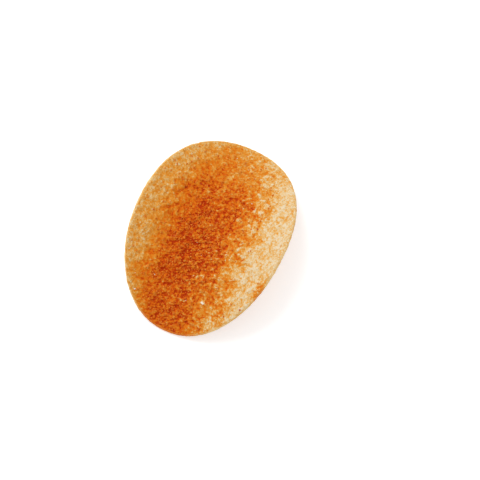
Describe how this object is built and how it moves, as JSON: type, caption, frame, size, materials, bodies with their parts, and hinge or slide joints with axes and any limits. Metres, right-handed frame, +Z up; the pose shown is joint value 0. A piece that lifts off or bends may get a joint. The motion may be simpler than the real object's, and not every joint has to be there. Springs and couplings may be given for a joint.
{
  "type": "saddle-shaped potato crisp",
  "caption": "Thin oval potato crisp pressed into a saddle, with drooping tips, raised sides and a seasoned trough, made to nest in a stack.",
  "frame": {"origin": "on the surface that the crisp rests on, below the middle of its outline", "axes": "+X along the crisp's length from tip to tip, +Y across it, +Z up out of the seasoned trough"},
  "size_m": [0.0632, 0.0458, 0.0148],
  "materials": {
    "fried_dough": "matt fried potato sheet with fine oil sheen and red-orange powder in the trough"
  },
  "bodies": {
    "root": {"crisp": "fried_dough"}
  },
  "joints": []
}
